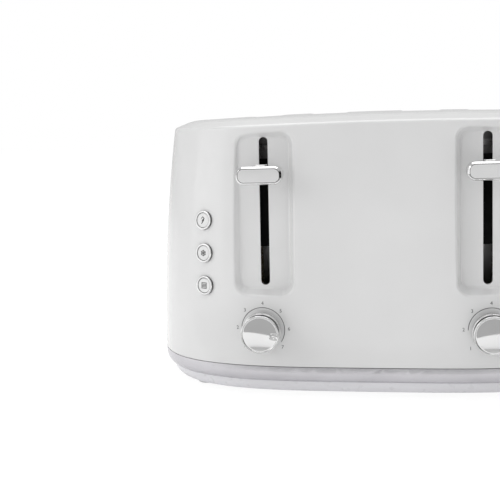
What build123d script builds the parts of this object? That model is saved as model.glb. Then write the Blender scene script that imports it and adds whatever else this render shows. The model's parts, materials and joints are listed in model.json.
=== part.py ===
"""Four-slice pop up toaster, one STEP file for each sub-part.

Millimetres, +Z up, +X to the user's right, -Y towards the user. The sub-parts are modelled about the
middle of the housing, and moved along Y at the end so that the origin is the middle of the bottom of
the whole toaster's box. The left half is modelled, and the right half is its mirror image.
"""
from build123d import *
import math
import os

# ---------------------------------------------------------------- driving dimensions: housing
HALF_WIDTH = 165.2          # widest plan size, at the chrome band
HALF_DEPTH = 142.1
CORNER_POWER = 3.67         # exponent of the superellipse that is the plan outline
OUTLINE_POINTS = 48
HEIGHT = 196.0              # top of the crowned lid above the table
CROWN_RADIUS = 3200.0
SLOPE_DROP = 4.6            # bevel round the lid: down the sides, and in over the top
SLOPE_REACH = 13.0
TOP_EDGE_RADIUS = 3.0       # rounding between the sides and that bevel
LID_RADIUS = 26.0           # rounding between that bevel and the lid
SIDE_LEAN = 1.44            # straight and curved share of the sides' lean, from band to top edge
SIDE_BULGE = 11.29
EDGE_Z = 190.25             # height at which that lean is reached
WALL = 2.6
BAND_WALL = 2.4
FOOT_HEIGHT = 4.1
BASE_TOP = 12.0
BAND_BOTTOM = 12.1
BAND_TOP = 23.2
SHELL_BOTTOM = 23.6         # leaves a fine shadow line above the band
BASE_TUCK = 8.6             # how far the base's lower edge is tucked in
BAND_TUCK = 4.4             # how far the band's lower edge is rolled in
BASE_BELLY = 5.6            # tuck at the base's half height

# ---------------------------------------------------------------- driving dimensions: bread slots
SLOT_CENTRES = (36.0, 84.0)
SLOT_WIDTH = 30.0
SLOT_LENGTH = 144.0
SLOT_CORNER = 6.0
SLOT_LIP_RADIUS = 1.2
SKIRT_BOTTOM = 184.6
SKIRT_WALL = 1.6

# ---------------------------------------------------------------- driving dimensions: controls
LEVER_X = -74.9
LEVER_Z = 155.4
ARM_HALF_HEIGHT = 3.0
ARM_HALF_WIDTH = 2.0
NECK_HALF_WIDTH = 3.6
NECK_TOP = 162.2
NECK_BACK = -130.4
SOCKET_DEPTH = 7.4          # how far the arm reaches into the cap
LEVER_CAP_SIZE = (31.0, 12.3)
LEVER_CAP_CORNER = 4.6
LEVER_CAP_FRONT = -151.3
LEVER_CAP_BACK = -138.6
LEVER_UP = 16.0             # extra lift above the rest position
LEVER_DOWN = 72.0
RECESS_WIDTH = 42.4
RECESS_HEIGHT = 112.8
RECESS_Z = 128.2
RECESS_CORNER = 11.0
RECESS_LIP_RADIUS = 1.8
RECESS_COVE = 1.8           # rounding between the recess's walls and its floor
RECESS_WALL = 2.0
FLOOR_WIDTH = 35.0
FLOOR_HEIGHT = 104.0
FLOOR_CORNER = 6.0
FLOOR_Y = -126.3            # recess floor at RECESS_Z
FLOOR_LEAN = 4.0            # degrees
TRACK_WIDTH = 6.2
TRACK_LOW = 78.6
TRACK_HIGH = 180.2
DIAL_X = -76.3
DIAL_Z = 49.3
DIAL_FRONT = -156.5
DIAL_RADIUS = 13.5
DIAL_BACK = -144.0
DIAL_DISH = 60.0            # radius of the ball that dishes its face
SHAFT_RADIUS = 3.0
SHAFT_END = -152.0
DIMPLE_REACH = 9.6
DIAL_POINTER = -7.0         # degrees above the user's right, at rest
BUTTON_X = -118.0
BUTTON_HEIGHTS = {"reheat": 123.5, "defrost": 100.7, "cancel": 78.0}
BEZEL_RADIUS = 6.7
BEZEL_SLEEVE = 5.9
BEZEL_BORE = 5.25
BUTTON_HOLE = 5.95
CAP_RADIUS = 5.17
CAP_BACK = 4.4              # from the housing's surface to the back of a cap
BUTTON_STEM = 3.2
BUTTON_TRAVEL = 1.5
SWITCH_DEPTH = CAP_BACK + BUTTON_STEM + BUTTON_TRAVEL + 0.2     # surface to switch plunger
PILLAR_SPREAD = 35.0        # the button board's two pillars, from its middle

# ---------------------------------------------------------------- driving dimensions: oven and lift
OVEN_FRONT = -78.0
OVEN_REAR = 78.0
OVEN_SIDES = (8.0, 112.0)
PLATE = 0.8
PLATE_TOP = 184.0
PAN_FLOOR = 6.5
HEATER_CENTRES = (12.0, 60.0, 108.0)
GUIDE_OFFSET = 14.2         # grid from the slot's middle, when open
GUIDE_CLOSE = 5.0
WIRE = 0.9                  # radius of the grids' rods
UPRIGHT_WIRE = 0.8
GRID_LOW = 38.0
GRID_HIGH = 177.0
LINK_HEIGHTS = {"right": 172.0, "left": 162.0}
WELD_GAP = 0.05
RACK_TOP = 114.0
RACK_DEPTH = 6.0
CARRIAGE_BACK = -90.4
CARRIAGE_THICK = 1.6
CARRIAGE_LOW = 100.4
CARRIAGE_HIGH = 164.0
ROD_X = -60.0
ROD_Y = -100.0
ROD_RADIUS = 2.5
RUNNING = 0.05
SPRING_X = -47.0
SPRING_RADIUS = 3.4
SPRING_WIRE = 0.4
SPRING_TURNS = 13
SPRING_LOW = 130.0
MAGNET_X = -42.0
MAGNET_Y = -112.0
MAGNET_TOP = 46.4
MAGNET_LEG = 6.0            # each leg from the magnet's middle
BOARD_Y = -122.4            # rear face of the control board
BOARD_THICK = 1.6
FINGER_PITCH = 13.0
FINGER_HALF_LENGTH = 7.0
WIRE_PITCH = 15.0

# ---------------------------------------------------------------- driving dimensions: base and back
POST_X = 124.0
POST_Y = 96.0
BOSS_RADIUS = 5.0
BOSS_TOP = 48.0
SCREW_RADIUS = 1.7
SCREW_HEAD_RADIUS = 3.6
SCREW_HEAD = 2.3
FOOT_RADIUS = 8.5
VENT_SIZE = (46.0, 3.0)
VENT_PITCH = 12.0
TRAY_SPAN = (16.0, 104.0)
TRAY_FLOOR = 13.7
TRAY_TOP = 21.4
TRAY_SHEET = 0.8
TRAY_BACK = 131.0
TRAY_GAP = 0.4
TRAY_GRIP = (-72.0, -48.0)
GLAND_Z = 38.0
GLAND_LENGTH = 9.0
GLAND_FLANGE = 2.4
GLAND_HOLE = 8.0
CORD_BORE = 3.6

REAR_REACH = HALF_DEPTH + GLAND_LENGTH
SHIFT_Y = (-DIAL_FRONT - REAR_REACH) / 2


# ---------------------------------------------------------------- shared shapes
def side_inset(z):
    """How far the housing's side has leaned in at height z."""
    share = (z - BAND_TOP) / (EDGE_Z - BAND_TOP)
    return SIDE_LEAN * share + SIDE_BULGE * share * abs(share)


def front_y(x, z):
    """Y of the housing's front face at x and z."""
    half_width = HALF_WIDTH - side_inset(z)
    half_depth = HALF_DEPTH - side_inset(z)
    return -half_depth * (1 - (abs(x) / half_width) ** CORNER_POWER) ** (1 / CORNER_POWER)


def front_plane(x, z, step=0.5):
    """Plane on the housing's front face, with its normal pointing out."""
    along_x = Vector(2 * step, front_y(x + step, z) - front_y(x - step, z), 0)
    along_z = Vector(0, front_y(x, z + step) - front_y(x, z - step), 2 * step)
    return Plane(origin=(x, front_y(x, z), z), x_dir=along_x, z_dir=along_x.cross(along_z))


def outline(inset, z):
    """The plan superellipse, moved in by inset, as a face at height z."""
    points = []
    for index in range(OUTLINE_POINTS):
        angle = 2 * math.pi * index / OUTLINE_POINTS
        cosine = abs(math.cos(angle)) / (HALF_WIDTH - inset)
        sine = abs(math.sin(angle)) / (HALF_DEPTH - inset)
        radius = (cosine ** CORNER_POWER + sine ** CORNER_POWER) ** (-1 / CORNER_POWER)
        points.append(Vector(radius * math.cos(angle), radius * math.sin(angle), z))
    return make_face(Spline(*points, periodic=True))


def crown(drop=0.0):
    """The large ball whose top is the crowned lid."""
    return Pos(0, 0, HEIGHT - drop - CROWN_RADIUS) * Rot(90, 0, 0) * Sphere(CROWN_RADIUS)


def housing_volume(inset, bottom):
    """Solid of the housing, moved in by inset, cut under the crown and bevelled round the lid."""
    levels = [bottom, 65.0, 107.0, 149.0, 178.0, 202.0]
    stack = loft([outline(side_inset(z) + inset, z) for z in levels])
    stack &= crown(inset)
    lid = stack.faces().sort_by(Axis.Z)[-1]
    return chamfer(lid.edges(), SLOPE_REACH, SLOPE_DROP, reference=lid)


def foot_volume(inset):
    """Solid of the chrome band's zone."""
    height = BAND_TOP - BAND_BOTTOM
    rolls = [(0.0, 1.0), (0.16, 0.5), (0.4, 0.14), (0.7, 0.02), (1.0, 0.0)]
    return loft([outline(BAND_TUCK * tuck + inset, BAND_BOTTOM + height * share) for share, tuck in rolls])


def tube(radius, start, end):
    """Round bar from start to end."""
    line = Vector(*end) - Vector(*start)
    return Plane(origin=start, z_dir=line) * extrude(Circle(radius), line.length)


def block(x_span, y_span, z_span):
    """Box between three pairs of limits."""
    size = [high - low for low, high in (x_span, y_span, z_span)]
    middle = [(high + low) / 2 for low, high in (x_span, y_span, z_span)]
    return Pos(*middle) * Box(*size)


def along_y(x, z, profile, y_span):
    """Profile drawn as seen from the front, extruded between two depths."""
    plane = Plane(origin=(x, y_span[1], z), x_dir=(1, 0, 0), z_dir=(0, -1, 0))
    return plane * extrude(profile, y_span[1] - y_span[0])


def mirrored(part):
    """The same piece for the other half."""
    return mirror(part, about=Plane.YZ)


def both(part):
    """The piece and its mirror image."""
    return part + mirrored(part)


# ---------------------------------------------------------------- housing
def recess_volume(wall):
    """Lever recess: a mouth on the front face, narrowing to a flat floor, grown by wall."""
    ahead, flare = 4.0, 5.0
    mouth_plane = front_plane(LEVER_X, RECESS_Z).offset(ahead)
    floor_normal = Vector(0, -math.cos(math.radians(FLOOR_LEAN)), math.sin(math.radians(FLOOR_LEAN)))
    floor_plane = Plane(origin=(LEVER_X, FLOOR_Y, RECESS_Z), x_dir=(1, 0, 0), z_dir=floor_normal)
    floor_plane = floor_plane.offset(-wall)
    spread = 2 * wall + flare
    mouth = RectangleRounded(RECESS_WIDTH + spread, RECESS_HEIGHT + spread, RECESS_CORNER + wall)
    floor = RectangleRounded(FLOOR_WIDTH + 2 * wall, FLOOR_HEIGHT + 2 * wall, FLOOR_CORNER + wall)
    body = loft([mouth_plane * mouth, floor_plane * floor], ruled=True)
    deepest = body.edges().filter_by(lambda edge: abs(floor_plane.to_local_coords(edge.center()).Z) < 0.01)
    return fillet(deepest, RECESS_COVE)


def track_cut():
    """Slot in the recess floor that the lever's arm slides in."""
    height = TRACK_HIGH - TRACK_LOW
    profile = Rot(0, 0, 90) * SlotOverall(height, TRACK_WIDTH)
    return along_y(LEVER_X, (TRACK_HIGH + TRACK_LOW) / 2, profile, (-150.0, -110.0))


def slot_prism(centre, grow, z_span):
    """Upright prism with the outline of one bread slot."""
    size = RectangleRounded(SLOT_WIDTH + 2 * grow, SLOT_LENGTH + 2 * grow, SLOT_CORNER + grow)
    return Pos(-centre, 0, z_span[0]) * extrude(size, z_span[1] - z_span[0])


def screw_boss():
    """Post in the housing that a base screw bites into, with its rib to the wall."""
    low, high = SHELL_BOTTOM, BOSS_TOP
    rib_length, rib_thick, rib_turn = 36.0, 2.2, -38.0
    post = tube(BOSS_RADIUS, (-POST_X, POST_Y, low), (-POST_X, POST_Y, high))
    rib_place = Pos(-POST_X - 14, POST_Y + 11, (low + high) / 2) * Rot(0, 0, rib_turn)
    rib = rib_place * Box(rib_length, rib_thick, high - low)
    hole = tube(SCREW_RADIUS + RUNNING, (-POST_X, POST_Y, low), (-POST_X, POST_Y, high - 3))
    return post + rib - hole


def board_posts():
    """Two pillars that hold the button board behind the front wall."""
    middle = front_plane(BUTTON_X, BUTTON_HEIGHTS["defrost"])
    deep = SWITCH_DEPTH + 3.5
    pillar = extrude(Circle(2.2), deep + 1.2)
    lower, upper = [middle * Pos(0, up, -deep) * pillar for up in (-PILLAR_SPREAD, PILLAR_SPREAD)]
    return lower + upper


def body_shell():
    """White outer housing."""
    outer = housing_volume(0.0, SHELL_BOTTOM)
    shoulder = outer.edges().group_by(Axis.Z)[-3]
    outer = fillet(shoulder, TOP_EDGE_RADIUS)
    outer = fillet(outer.faces().sort_by(Axis.Z)[-1].edges(), LID_RADIUS)
    inner = housing_volume(WALL, SHELL_BOTTOM - 1.0)
    shell = outer - inner
    inside = recess_volume(RECESS_WALL) + board_posts()
    for centre in SLOT_CENTRES:
        inside += slot_prism(centre, SKIRT_WALL, (SKIRT_BOTTOM, HEIGHT))
    inside += screw_boss() + mirror(screw_boss(), about=Plane.XZ)
    shell += both(inside) & outer
    cuts = recess_volume(0.0) + track_cut()
    for centre in SLOT_CENTRES:
        cuts += slot_prism(centre, 0.0, (SKIRT_BOTTOM - 1.0, HEIGHT + 10))
    for height in BUTTON_HEIGHTS.values():
        cuts += front_plane(BUTTON_X, height) * Pos(0, 0, -6) * extrude(Circle(BUTTON_HOLE), 12)
    cuts += tube(SHAFT_RADIUS + 1.6, (DIAL_X, -120, DIAL_Z), (DIAL_X, -160, DIAL_Z))
    shell -= both(cuts)
    shell -= tube(GLAND_HOLE, (0, HALF_DEPTH - 20, GLAND_Z), (0, HALF_DEPTH + 5, GLAND_Z))
    shell = fillet(shell.edges().filter_by(is_slot_lip), SLOT_LIP_RADIUS)
    return fillet(shell.edges().filter_by(is_recess_lip), RECESS_LIP_RADIUS)


def is_slot_lip(edge):
    """True for the edges round the mouths of the bread slots."""
    centre = edge.center()
    beside = min(abs(abs(centre.X) - middle) for middle in SLOT_CENTRES)
    return centre.Z > HEIGHT - 5 and abs(centre.Y) < SLOT_LENGTH / 2 + 1 and beside < SLOT_WIDTH / 2 + 1


def is_recess_lip(edge):
    """True for the edges round the mouths of the lever recesses, on the front face."""
    centre = edge.center()
    aside = abs(abs(centre.X) - abs(LEVER_X))
    above = abs(centre.Z - RECESS_Z)
    if centre.Y > 0 or aside > RECESS_WIDTH / 2 + 3 or above > RECESS_HEIGHT / 2 + 3:
        return False
    return abs(centre.Y - front_y(centre.X, centre.Z)) < 0.4


def tray_window(gap):
    """Opening for one crumb tray through the back of the band, shrunk by gap."""
    aside, above = 1.2 - gap, 0.6 - gap
    x_span = (-TRAY_SPAN[1] - aside, -TRAY_SPAN[0] + aside)
    return block(x_span, (100.0, HALF_DEPTH + 5), (TRAY_FLOOR - above, TRAY_TOP + above))


def chrome_band():
    """Bright band between base and housing, with two windows for the trays at the back."""
    return foot_volume(0.0) - foot_volume(BAND_WALL) - both(tray_window(0.0))


def base_pan():
    """White base moulding, with screw posts and vents."""
    middle = (FOOT_HEIGHT + BASE_TOP) / 2
    tucks = [(FOOT_HEIGHT, BASE_TUCK), (middle, BASE_BELLY), (BASE_TOP, BAND_TUCK + 0.1)]
    pan = loft([outline(tuck, z) for z, tuck in tucks])
    pan = fillet(pan.edges().group_by(Axis.Z)[0], 1.2)
    pan -= loft([outline(BASE_TUCK + WALL, PAN_FLOOR), outline(BAND_TUCK + 3.0, BASE_TOP + 2)])
    post = tube(BOSS_RADIUS + 0.5, (-POST_X, POST_Y, PAN_FLOOR - 1), (-POST_X, POST_Y, SHELL_BOTTOM - 0.2))
    hole = tube(SCREW_RADIUS + 0.2, (-POST_X, POST_Y, 0), (-POST_X, POST_Y, SHELL_BOTTOM))
    pan += four_corners(post)
    pan -= four_corners(hole)
    vent = extrude(SlotOverall(*VENT_SIZE), PAN_FLOOR + 1)
    for row in (-40.0, 40.0):
        for step in range(-2, 3):
            pan -= both(Pos(-HEATER_CENTRES[1], row + VENT_PITCH * step, 0) * vent)
    return pan


def four_corners(part):
    """Copies of a piece under the four corners."""
    half = both(part)
    return half + mirror(half, about=Plane.XZ)


def rubber_feet():
    """Four rubber feet, each with a hole for its screw's head."""
    ring = Cylinder(FOOT_RADIUS, FOOT_HEIGHT) - Cylinder(SCREW_HEAD_RADIUS + 0.6, FOOT_HEIGHT)
    foot = Pos(-POST_X, POST_Y, FOOT_HEIGHT / 2) * ring
    foot = chamfer(foot.edges().group_by(Axis.Z)[0].sort_by(SortBy.RADIUS)[-1], 0.6)
    return four_corners(foot)


def base_screws():
    """Four long screws from the base into the housing."""
    head = Pos(-POST_X, POST_Y, FOOT_HEIGHT - SCREW_HEAD / 2) * Cylinder(SCREW_HEAD_RADIUS, SCREW_HEAD)
    arm, width = 4.4, 0.9
    cross = Box(arm, width, 2.4) + Box(width, arm, 2.4)
    head -= Pos(-POST_X, POST_Y, FOOT_HEIGHT - SCREW_HEAD) * cross
    shank = tube(SCREW_RADIUS, (-POST_X, POST_Y, FOOT_HEIGHT - 0.2), (-POST_X, POST_Y, BOSS_TOP - 4))
    return four_corners(head + shank)


def cord_gland():
    """Strain-relief bush in the back wall."""
    face = HALF_DEPTH - side_inset(GLAND_Z)
    outside = face + GLAND_FLANGE
    flange = tube(GLAND_HOLE + 3, (0, face + 0.4, GLAND_Z), (0, outside, GLAND_Z))
    neck = tube(GLAND_HOLE - 0.1, (0, face - 7, GLAND_Z), (0, face + 0.5, GLAND_Z))
    collar = tube(GLAND_HOLE + 1.6, (0, face - 7, GLAND_Z), (0, face - WALL - 0.5, GLAND_Z))
    length = REAR_REACH - outside
    cone = Plane(origin=(0, outside + length / 2, GLAND_Z), z_dir=(0, 1, 0)) * Cone(7.0, 5.4, length)
    bore = tube(CORD_BORE, (0, face - 10, GLAND_Z), (0, REAR_REACH + 2, GLAND_Z))
    return flange + neck + collar + cone - bore


def crumb_tray():
    """Sheet tray with a front panel that fills its window in the band."""
    x_span = (-TRAY_SPAN[1], -TRAY_SPAN[0])
    y_span = (OVEN_FRONT + 2, TRAY_BACK)
    sheet = TRAY_SHEET
    tray = block(x_span, y_span, (TRAY_FLOOR, TRAY_TOP - 1))
    hollow_x = (x_span[0] + sheet, x_span[1] - sheet)
    hollow_y = (y_span[0] + sheet, y_span[1] - sheet)
    tray -= block(hollow_x, hollow_y, (TRAY_FLOOR + sheet, TRAY_TOP + 1))
    panel = tray_window(TRAY_GAP) & foot_volume(0.3)
    panel -= block((-HALF_WIDTH, 0), (0, TRAY_BACK - sheet), (0, BAND_TOP))
    grip = block(TRAY_GRIP, (TRAY_BACK, HALF_DEPTH + 5.5), (17.0, 18.4))
    grip = fillet(grip.edges().filter_by(Axis.Z).sort_by(Axis.Y)[-2:], 5.0)
    return tray + panel + grip


# ---------------------------------------------------------------- controls
def lever_arm():
    """Flat arm from the carriage through the track to the lever cap."""
    x_span = (LEVER_X - ARM_HALF_WIDTH, LEVER_X + ARM_HALF_WIDTH)
    z_span = (LEVER_Z - ARM_HALF_HEIGHT, LEVER_Z + ARM_HALF_HEIGHT)
    return block(x_span, (LEVER_CAP_BACK - SOCKET_DEPTH, CARRIAGE_BACK - CARRIAGE_THICK + 0.2), z_span)


def lever_cap():
    """Chrome finger piece with a bevelled rim, on the end of the carriage's arm."""
    face = RectangleRounded(*LEVER_CAP_SIZE, LEVER_CAP_CORNER)
    cap = along_y(LEVER_X, LEVER_Z, face, (LEVER_CAP_FRONT, LEVER_CAP_BACK))
    cap = chamfer(cap.faces().sort_by(Axis.Y)[0].edges(), 1.5, 1.5)
    cap = fillet(cap.faces().sort_by(Axis.Y)[-1].edges(), 2.0)
    neck_x = (LEVER_X - NECK_HALF_WIDTH, LEVER_X + NECK_HALF_WIDTH)
    neck = block(neck_x, (LEVER_CAP_BACK - 3.0, NECK_BACK), (LEVER_Z - ARM_HALF_HEIGHT - 1.4, NECK_TOP))
    return cap + fillet(neck.edges().filter_by(Axis.Y), 1.0) - lever_arm()


def dial_knob(x):
    """Chrome browning dial with a dished face and a round pointer dimple."""
    body = along_y(x, DIAL_Z, Circle(DIAL_RADIUS), (DIAL_FRONT, DIAL_BACK))
    body = fillet(body.faces().sort_by(Axis.Y)[0].edges(), 1.6)
    skirt = along_y(x, DIAL_Z, Circle(DIAL_RADIUS - 1.0), (DIAL_BACK - 0.2, DIAL_BACK + 2.6))
    dish = Pos(x, DIAL_FRONT - DIAL_DISH + 1.0, DIAL_Z) * Sphere(DIAL_DISH)
    angle = math.radians(DIAL_POINTER)
    spot_x = x + DIMPLE_REACH * math.cos(angle)
    spot_z = DIAL_Z + DIMPLE_REACH * math.sin(angle)
    dimple = Pos(spot_x, DIAL_FRONT + 0.1, spot_z) * Sphere(1.4)
    bore = along_y(x, DIAL_Z, Circle(SHAFT_RADIUS), (SHAFT_END, DIAL_BACK + 4))
    hub = Circle(SHAFT_RADIUS + 2)
    hollow = along_y(x, DIAL_Z, Circle(DIAL_RADIUS - 3) - hub, (SHAFT_END + 2, DIAL_BACK + 4))
    return body + skirt - dish - dimple - bore - hollow


def dial_shaft(x):
    """Spindle from the potentiometer into the dial."""
    return along_y(x, DIAL_Z, Circle(SHAFT_RADIUS), (SHAFT_END, BOARD_Y - 2.6))


def potentiometer(x):
    """Rotary control with its bushing, on the control board."""
    case_front = BOARD_Y - 7.6
    case = along_y(x, DIAL_Z, Circle(8.5), (case_front, BOARD_Y - BOARD_THICK))
    bushing = along_y(x, DIAL_Z, Circle(SHAFT_RADIUS + 1.4), (case_front - 5.6, case_front + 0.2))
    bore = along_y(x, DIAL_Z, Circle(SHAFT_RADIUS + RUNNING), (case_front - 6, BOARD_Y - 2.5))
    return case + bushing - bore


def button_cap(height):
    """Push cap with a retaining flange and a stem."""
    flange_depth = 1.2
    face = extrude(Circle(CAP_RADIUS), 6.0)
    face = fillet(face.edges().group_by(Axis.Z)[-1], 0.6)
    flange = Pos(0, 0, -flange_depth) * extrude(Circle(BEZEL_SLEEVE + 0.5), flange_depth + 0.1)
    stem = Pos(0, 0, -BUTTON_STEM) * extrude(Circle(1.6), BUTTON_STEM - 1)
    return front_plane(BUTTON_X, height) * Pos(0, 0, -CAP_BACK) * (face + flange + stem)


def button_bezels():
    """Three chrome rings, each with a sleeve through the wall."""
    rings = None
    for height in BUTTON_HEIGHTS.values():
        ring = Pos(0, 0, 0.05) * extrude(Circle(BEZEL_RADIUS), 1.9)
        ring = fillet(ring.edges().group_by(Axis.Z)[-1], 0.8)
        ring += Pos(0, 0, -4.0) * extrude(Circle(BEZEL_SLEEVE), 4.1)
        ring -= Pos(0, 0, -5.0) * extrude(Circle(BEZEL_BORE), 8.0)
        ring = front_plane(BUTTON_X, height) * ring
        rings = ring if rings is None else rings + ring
    return rings


def button_board():
    """Circuit board with the three button switches."""
    middle = front_plane(BUTTON_X, BUTTON_HEIGHTS["defrost"])
    board = middle * Pos(0, 0, -(SWITCH_DEPTH + 4.3)) * Box(16, 2 * PILLAR_SPREAD + 8, BOARD_THICK)
    for height in BUTTON_HEIGHTS.values():
        spot = front_plane(BUTTON_X, height)
        board += spot * Pos(0, 0, -(SWITCH_DEPTH + 2.4)) * Box(6, 6, 3.4)
        board += spot * Pos(0, 0, -(SWITCH_DEPTH + 1.0)) * extrude(Circle(1.7), 1.0)
    return board


def control_board():
    """Circuit board behind the dial, with a few tall components."""
    board = block((-104, -28), (BOARD_Y - BOARD_THICK, BOARD_Y), (24.0, 67.0))
    board += block((-100, -88), (BOARD_Y, BOARD_Y + 9), (30.0, 46.0))
    for x in (-84.0, -74.0):
        board += along_y(x, 34.0, Circle(4.0), (BOARD_Y, BOARD_Y + 11))
    board += block((-94, -66), (BOARD_Y, BOARD_Y + 2.5), (54.0, 60.0))
    return board


# ---------------------------------------------------------------- lift
def carriage_plate():
    """Sliding plate with bushes, lever arm, spring tab and armature arm."""
    front = CARRIAGE_BACK - CARRIAGE_THICK
    plate = block((-96, -24), (front, CARRIAGE_BACK), (CARRIAGE_LOW, CARRIAGE_HIGH))
    plate = fillet(plate.edges().filter_by(Axis.Y), 4.0)
    plate -= block((-74, -66), (front - 1, CARRIAGE_BACK + 1), (118, 146))
    for low in (102.0, 150.0):
        plate += tube(5.0, (ROD_X, ROD_Y, low), (ROD_X, ROD_Y, low + 12))
        plate += block((ROD_X - 2, ROD_X + 2), (ROD_Y + 4, front + 0.2), (low, low + 12))
    plate -= tube(ROD_RADIUS + RUNNING, (ROD_X, ROD_Y, 90), (ROD_X, ROD_Y, 170))
    plate += lever_arm()
    plate += block((SPRING_X - 4, SPRING_X + 4), (ROD_Y - 4, front + 0.2), (SPRING_LOW - 2, SPRING_LOW))
    arm_z = MAGNET_TOP + LEVER_DOWN + 2.3
    plate += block((MAGNET_X - 5, MAGNET_X + 5), (MAGNET_Y - 5, front + 0.2), (arm_z, arm_z + 1.6))
    return plate


def armature():
    """Soft-iron plate that the electromagnet grips."""
    low = MAGNET_TOP + LEVER_DOWN + 0.2
    return block((MAGNET_X - 8, MAGNET_X + 8), (MAGNET_Y - 6, MAGNET_Y + 6), (low, low + 2.1))


def magnet_core():
    """U-shaped iron core, its yoke reaching back to the control board."""
    core = block((MAGNET_X - 8, MAGNET_X + 8), (BOARD_Y, MAGNET_Y + 5), (28.0, 32.0))
    for side in (-MAGNET_LEG, MAGNET_LEG):
        legs_x = (MAGNET_X + side - 2, MAGNET_X + side + 2)
        core += block(legs_x, (MAGNET_Y - 4, MAGNET_Y + 4), (31.0, MAGNET_TOP))
    return core


def magnet_coils():
    """Two wound bobbins on the core's legs."""
    coils = None
    for side in (-MAGNET_LEG, MAGNET_LEG):
        bobbin = block((-3.6, 3.6), (-6.6, 6.6), (32.1, 44.5))
        bobbin = fillet(bobbin.edges().filter_by(Axis.Z), 1.5)
        bobbin -= block((-2.1, 2.1), (-4.1, 4.1), (30, 50))
        bobbin = Pos(MAGNET_X + side, MAGNET_Y, 0) * bobbin
        coils = bobbin if coils is None else coils + bobbin
    return coils


def guide_rod():
    """Upright rod held by the oven plate's two flanges."""
    rod = tube(ROD_RADIUS, (ROD_X, ROD_Y, 21.0), (ROD_X, ROD_Y, PLATE_TOP + 3))
    return chamfer(rod.edges(), 0.5)


def return_spring():
    """Tension spring between the top flange and the carriage's tab."""
    length = PLATE_TOP - PLATE - SPRING_LOW
    coil_length = length - 2 * SPRING_WIRE - 0.2
    path = Helix(pitch=coil_length / SPRING_TURNS, height=coil_length, radius=SPRING_RADIUS)
    section = Plane(origin=path @ 0, z_dir=path % 0) * Circle(SPRING_WIRE)
    coil = sweep(section, path=path, is_frenet=True)
    return Pos(SPRING_X, ROD_Y, SPRING_LOW + SPRING_WIRE + 0.1) * coil


def bread_lifter(centre):
    """Rack that carries one slice: an upright web with cross fingers."""
    z_span = (RACK_TOP - RACK_DEPTH, RACK_TOP)
    web = block((-centre - 0.6, -centre + 0.6), (CARRIAGE_BACK, OVEN_REAR + 6), z_span)
    x_span = (-centre - FINGER_HALF_LENGTH, -centre + FINGER_HALF_LENGTH)
    for index in range(-5, 6):
        y = FINGER_PITCH * index
        web += block(x_span, (y - 1.5, y + 1.5), (RACK_TOP - 1.2, RACK_TOP))
    return web


# ---------------------------------------------------------------- oven
def guide_x(side):
    """X of the two grids of one pair: those that close towards the right, or towards the left."""
    offset = -GUIDE_OFFSET if side == "right" else GUIDE_OFFSET
    return [-centre + offset for centre in SLOT_CENTRES]


def oven_plate(y_span, tray_cut):
    """End plate with slots for the racks and for the grids' rods."""
    plate = block((-OVEN_SIDES[1] - PLATE, -OVEN_SIDES[0] + PLATE), y_span, (PAN_FLOOR, PLATE_TOP))
    cut_y = (y_span[0] - 1, y_span[1] + 1)
    plate -= block((-TRAY_SPAN[1] - 1, -TRAY_SPAN[0] + 1), cut_y, (0, tray_cut))
    for centre in SLOT_CENTRES:
        rack_low = RACK_TOP - RACK_DEPTH - LEVER_DOWN - 1.5
        rack_high = RACK_TOP + LEVER_UP + 1.5
        plate -= block((-centre - 1.2, -centre + 1.2), cut_y, (rack_low, rack_high))
    for side, inward in (("right", 1), ("left", -1)):
        for x in guide_x(side):
            x_pair = sorted((x - inward * 3.2, x + inward * (GUIDE_CLOSE + 1.4)))
            for z in (GRID_LOW, LINK_HEIGHTS[side]):
                plate -= block(x_pair, cut_y, (z - 1.4, z + 1.4))
    return plate


def oven_front_plate():
    """Front end plate, with flanges that hold the rod and the spring."""
    plate = oven_plate((OVEN_FRONT - PLATE, OVEN_FRONT), 12.0)
    for z in (24.0, PLATE_TOP - PLATE):
        flange = block((-70, -40), (ROD_Y - 7, OVEN_FRONT - 0.1), (z, z + PLATE))
        flange = fillet(flange.edges().filter_by(Axis.Z).sort_by(Axis.Y)[:2], 3.0)
        plate += flange - tube(ROD_RADIUS, (ROD_X, ROD_Y, z - 1), (ROD_X, ROD_Y, z + 2))
    return plate


def oven_rear_plate():
    """Rear end plate, open below for the crumb tray."""
    return oven_plate((OVEN_REAR, OVEN_REAR + PLATE), TRAY_TOP + 1.6)


def heat_shields():
    """Reflector sheets at the two sides of the oven."""
    sheets = None
    for x in OVEN_SIDES:
        sheet = block((-x - 0.3, -x + 0.3), (OVEN_FRONT, OVEN_REAR), (25.0, PLATE_TOP - 2))
        sheets = sheet if sheets is None else sheets + sheet
    return sheets


def heater_boards():
    """Three mica boards, held between the end plates."""
    boards = None
    for x in HEATER_CENTRES:
        board = block((-x - 0.5, -x + 0.5), (OVEN_FRONT, OVEN_REAR), (32.0, 180.0))
        boards = board if boards is None else boards + board
    return boards


def bread_guides(side):
    """Two wire grids that close the same way, and the link bar ahead of the front plate that ties them."""
    link_z = LINK_HEIGHTS[side]
    link_y = OVEN_FRONT - 6.0
    guides = None
    for x in guide_x(side):
        for z in (GRID_LOW, link_z):
            front = link_y + WELD_GAP if z == link_z else OVEN_FRONT - 3.0
            rod = tube(WIRE, (x, front, z), (x, OVEN_REAR + 3.5, z))
            guides = rod if guides is None else guides + rod
        guides += tube(WIRE, (x, OVEN_FRONT + 6, GRID_HIGH), (x, OVEN_REAR - 6, GRID_HIGH))
        for index in range(10):
            y = WIRE_PITCH * (index - 4.5)
            guides += tube(UPRIGHT_WIRE, (x, y, GRID_LOW), (x, y, GRID_HIGH))
    ends = guide_x(side)
    return guides + block((min(ends) - 1.5, max(ends) + 1.5), (link_y - 1.2, link_y), (link_z - 2, link_z + 2))


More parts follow.
